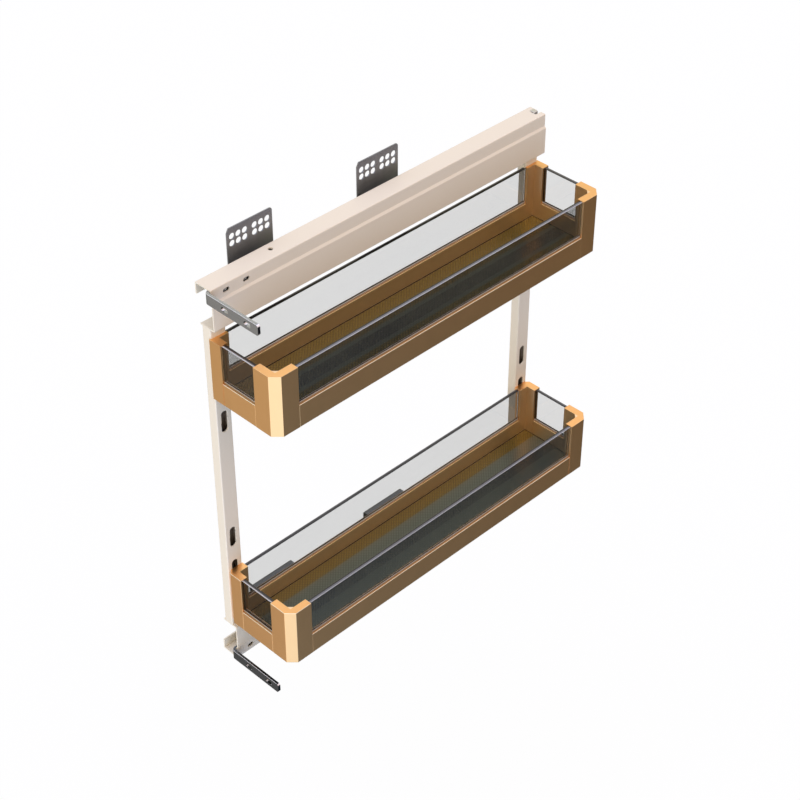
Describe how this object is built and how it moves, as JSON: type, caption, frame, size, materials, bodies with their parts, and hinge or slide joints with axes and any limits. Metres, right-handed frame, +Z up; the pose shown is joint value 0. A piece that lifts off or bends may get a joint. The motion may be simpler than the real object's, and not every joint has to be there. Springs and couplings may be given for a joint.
{
  "type": "pull-out cabinet organizer",
  "caption": "Side-mounted pull-out for a narrow base cabinet: glass-walled baskets on a folded steel frame, carried by full-extension ball slides.",
  "frame": {"origin": "on the outer face of the upper front bracket, in the middle of its twelve screw holes", "axes": "+X from the cabinet side wall towards the baskets, -Y the way the frame pulls out, +Z up"},
  "size_m": [0.1224, 0.4554, 0.521],
  "materials": {
    "cream": "satin powder coat, warm cream",
    "gold": "satin anodised, warm gold",
    "bracket": "zinc plated, matte grey",
    "door_bar": "zinc plated, brushed",
    "slide": "bright zinc plated",
    "hook": "bright zinc plated",
    "rivet": "bright zinc plated",
    "screw": "bright zinc plated",
    "cage": "yellow passivated sheet",
    "ball": "polished",
    "glass": "clear float glass, polished edges",
    "floor": "dark grey, glossy, fine raised lozenge pattern"
  },
  "bodies": {
    "cabinet_side": {"upper_front_bracket": "bracket", "upper_rear_bracket": "bracket", "lower_front_bracket": "bracket", "lower_rear_bracket": "bracket", "upper_cabinet_member": "slide", "lower_cabinet_member": "slide", "bracket_rivets": "rivet"},
    "middle_members": {"upper_middle_member": "slide", "lower_middle_member": "slide"},
    "outer_cages": {"upper_outer_cage": "cage", "lower_outer_cage": "cage", "upper_outer_balls": "ball", "lower_outer_balls": "ball"},
    "inner_cages": {"upper_inner_cage": "cage", "lower_inner_cage": "cage", "upper_inner_balls": "ball", "lower_inner_balls": "ball"},
    "pull_out": {"upper_carrier_member": "slide", "lower_carrier_member": "slide", "upper_rail": "cream", "lower_rail": "cream", "front_post": "cream", "rear_post": "cream", "post_plugs": "slide", "post_screws": "cream", "upper_rear_hook": "hook", "lower_rear_hook": "hook", "upper_front_left_corner": "gold", "upper_front_right_corner": "gold", "upper_rear_left_corner": "gold", "upper_rear_right_corner": "gold", "upper_front_sill": "gold", "upper_rear_sill": "gold", "upper_left_sill": "gold", "upper_right_sill": "gold", "upper_front_glass": "glass", "upper_rear_glass": "glass", "upper_left_glass": "glass", "upper_right_glass": "glass", "upper_floor": "floor", "upper_basket_screws": "screw", "lower_front_left_corner": "gold", "lower_front_right_corner": "gold", "lower_rear_left_corner": "gold", "lower_rear_right_corner": "gold", "lower_front_sill": "gold", "lower_rear_sill": "gold", "lower_left_sill": "gold", "lower_right_sill": "gold", "lower_front_glass": "glass", "lower_rear_glass": "glass", "lower_left_glass": "glass", "lower_right_glass": "glass", "lower_floor": "floor", "lower_basket_screws": "screw"},
    "upper_door_bracket": {"upper_door_bracket": "door_bar"},
    "lower_door_bracket": {"lower_door_bracket": "door_bar"}
  },
  "joints": [
    {"name": "pull_out_slide", "type": "slide", "parent": "cabinet_side", "child": "pull_out", "axis": [0, -1, 0], "range_m": [0, 0.42]},
    {"name": "middle_slide", "type": "slide", "parent": "cabinet_side", "child": "middle_members", "axis": [0, -1, 0], "range_m": [0, 0.21]},
    {"name": "outer_cage_slide", "type": "slide", "parent": "cabinet_side", "child": "outer_cages", "axis": [0, -1, 0], "range_m": [0, 0.105]},
    {"name": "inner_cage_slide", "type": "slide", "parent": "cabinet_side", "child": "inner_cages", "axis": [0, -1, 0], "range_m": [0, 0.315]},
    {"name": "upper_door_adjust", "type": "slide", "parent": "pull_out", "child": "upper_door_bracket", "axis": [0, -1, 0], "range_m": [-0.0004, 0.0017]},
    {"name": "lower_door_adjust", "type": "slide", "parent": "pull_out", "child": "lower_door_bracket", "axis": [0, -1, 0], "range_m": [-0.0004, 0.0017]}
  ],
  "couplings": [
    {"joint": "middle_slide", "follows": "pull_out_slide", "ratio": 0.5},
    {"joint": "outer_cage_slide", "follows": "pull_out_slide", "ratio": 0.25},
    {"joint": "inner_cage_slide", "follows": "pull_out_slide", "ratio": 0.75}
  ]
}
